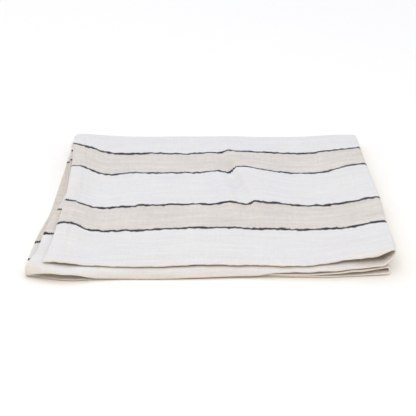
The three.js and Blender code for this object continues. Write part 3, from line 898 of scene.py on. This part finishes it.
def shaded(tree, colour, faults, in_beige):
    """The colour times 1 plus the weighted sum of the faults, which count for more in the beige."""
    shade = 0.0
    for name, (weight, _) in SHADES.items():
        shade = arithmetic(tree, "MULTIPLY_ADD", faults[name], weight, shade)
    more = arithmetic(tree, "MULTIPLY_ADD", in_beige, MORE_IN_BEIGE, 1.0)
    shade = arithmetic(tree, "MULTIPLY_ADD", shade, more, 1.0)
    tint = tree.nodes.new("ShaderNodeCombineColor")
    for socket in tint.inputs:
        feed(tree, socket, shade)
    return blend_colour(tree, 1.0, colour, tint.outputs["Color"], "MULTIPLY")


def linen_material():
    """Plain weave in two sets of uneven threads, striped along the cloth."""
    material, tree, shader = new_material("striped_linen")
    cloth_map = tree.nodes.new("ShaderNodeUVMap")
    cloth_map.uv_map = "cloth"
    here = cloth_map.outputs["UV"]
    split = tree.nodes.new("ShaderNodeSeparateXYZ")
    feed(tree, split.inputs[0], here)
    warp_wave, height, weft_shows = weave(tree, here, split.outputs)
    in_beige, colour = striped(tree, here, split.outputs["Y"], warp_wave, weft_shows)
    faults = {name: noise(tree, here, **kind) for name, (_, kind) in SHADES.items()}
    feed(tree, shader.inputs["Base Color"], shaded(tree, colour, faults, in_beige))
    roughness = arithmetic(tree, "MULTIPLY_ADD", height, -SMOOTHER_ON_TOP, ROUGH_BETWEEN)
    feed(tree, shader.inputs["Roughness"], roughness)
    slubs = arithmetic(tree, "ADD", faults["warp slubs"], faults["weft slubs"])
    relief = arithmetic(tree, "MULTIPLY_ADD", slubs, SLUB_HEIGHT, height)
    add_relief(tree, shader, relief, WEAVE_STRENGTH, WEAVE_DEPTH)
    set_finish(shader, LINEN_FINISH)
    return material


linen = linen_material()
napkin_cloth.data.materials.append(linen)
print(linen.name, "has", len(linen.node_tree.nodes), "nodes")

# %% [markdown]
# ## Floor, light and camera
#
# The napkin lies on a plain white table, in the soft high light of a product photograph. The table is lit to
# just past white, so that it shows no edge, and only a trace of shade is left at the napkin's foot. Its own
# colour is a little warm, because the light from overhead is a little cool, and it warms what bounces up into
# the gaps between the layers.

# %% Floor
FLOOR_HALF, FLOOR_GAP = 4.0, 0.05 * MM
FLOOR_GRAIN_SCALE, FLOOR_GRAIN_DEPTH, FLOOR_ROUGHNESS = 60, 0.1, 0.85
FLOOR_FINISH = {"Base Color": (0.95, 0.878, 0.73, 1.0), "Specular IOR Level": 0.1}


def floor_material():
    """Matt warm white paint, a little uneven in its roughness."""
    material, tree, shader = new_material("white_table")
    grain = noise(tree, tree.nodes.new("ShaderNodeTexCoord").outputs["Object"], FLOOR_GRAIN_SCALE)
    roughness = arithmetic(tree, "MULTIPLY_ADD", grain, FLOOR_GRAIN_DEPTH, FLOOR_ROUGHNESS)
    feed(tree, shader.inputs["Roughness"], roughness)
    set_finish(shader, FLOOR_FINISH)
    return material


floor_corners = np.array([[-1, -1], [1, -1], [1, 1], [-1, 1]]) * FLOOR_HALF
floor_points = np.column_stack([floor_corners, np.full(4, napkin_low[2] - FLOOR_GAP)])
floor = mesh_object("floor", floor_points, np.array([[0, 1, 2, 3]]), floor_corners)
floor.data.materials.append(floor_material())
print("floor of", 2 * FLOOR_HALF, "m")

# %% [markdown]
# Two soft lamps and a bright room light it. The first lamp is cool and stands above and a little behind, so
# the top is a clean white. The second is warm and stands high in front, so the hems and the gaps between the
# layers don't go grey. The room is cool overhead and warm at the sides.

# %% Light
LAMPS = {
    "soft_lamp": dict(size=1.6, power=5.5, colour=(0.76, 0.853, 0.98), place=(-0.4, 0.6, 1.4)),
    "front_fill": dict(size=1.2, power=9.0, colour=(1.0, 0.957, 0.84), place=(0.0, -0.95, 1.45)),
}
WARM_WALLS, COOL_CEILING = (0.66, 0.51, 0.32, 1.0), (0.775, 0.87, 1.142, 1.0)
WALLS_TO_CEILING, ROOM_STRENGTH = 2.0, 1.01


def lamp(name, size, power, colour, place):
    """A square area lamp at place, turned to look at the origin.

    It looks straight down to begin with. It is tipped by the angle whose tangent is its distance to the side
    over its height, and then turned about the upright axis to face the origin.
    """
    data = bpy.data.lights.new(name, "AREA")
    data.shape, data.size, data.energy, data.color = "SQUARE", size, power, colour
    piece = bpy.data.objects.new(name, data)
    piece.location = place
    x, y, z = place
    piece.rotation_euler = (math.atan2(math.hypot(x, y), z), 0.0, math.atan2(-y, -x) - math.pi / 2)
    bpy.context.scene.collection.objects.link(piece)


def bright_room():
    """A world that is warm at and below the horizon, and cool from where the height of the ray is a half."""
    world = bpy.data.worlds.new("white_room")
    world.use_nodes = True
    tree = world.node_tree
    ray = tree.nodes.new("ShaderNodeSeparateXYZ")
    feed(tree, ray.inputs[0], tree.nodes.new("ShaderNodeTexCoord").outputs["Generated"])
    raised = arithmetic(tree, "MULTIPLY", ray.outputs["Z"], WALLS_TO_CEILING)
    raised = arithmetic(tree, "MINIMUM", arithmetic(tree, "MAXIMUM", raised, 0.0), 1.0)
    background = tree.nodes["Background"]
    feed(tree, background.inputs["Color"], blend_colour(tree, raised, WARM_WALLS, COOL_CEILING))
    background.inputs["Strength"].default_value = ROOM_STRENGTH
    return world


for name, kind in LAMPS.items():
    lamp(name, **kind)
bpy.context.scene.world = bright_room()
bpy.context.scene.view_settings.view_transform = "Standard"
print("lamps, W:", {name: kind["power"] for name, kind in LAMPS.items()})

# %% [markdown]
# The camera looks down at the napkin from the front, at about 25 degrees, through a long lens from about a
# metre away. That was worked out from how much narrower the back crease looks than the front.

# %% Camera
CAMERA_PLACE = (117.0, -843.8, 442.4)
CAMERA_PITCH = 24.65
LENS, SENSOR, NEAREST = 114.23, 36.0, 0.01
camera_data = bpy.data.cameras.new("camera")
camera_data.lens, camera_data.sensor_width, camera_data.sensor_fit = LENS, SENSOR, "HORIZONTAL"
camera_data.clip_start = NEAREST
camera = bpy.data.objects.new("camera", camera_data)
camera.location = to_frame(CAMERA_PLACE)
camera.rotation_euler = (math.radians(90 - CAMERA_PITCH), 0.0, 0.0)
bpy.context.scene.collection.objects.link(camera)
bpy.context.scene.camera = camera
print("camera at", np.round(np.array(camera.location), 3))

# %% [markdown]
# ## Finish
#
# The dressed napkin has to fill the same box as the imported model. Last, the scene is brought up to date.

# %% Finish
bpy.context.view_layer.update()
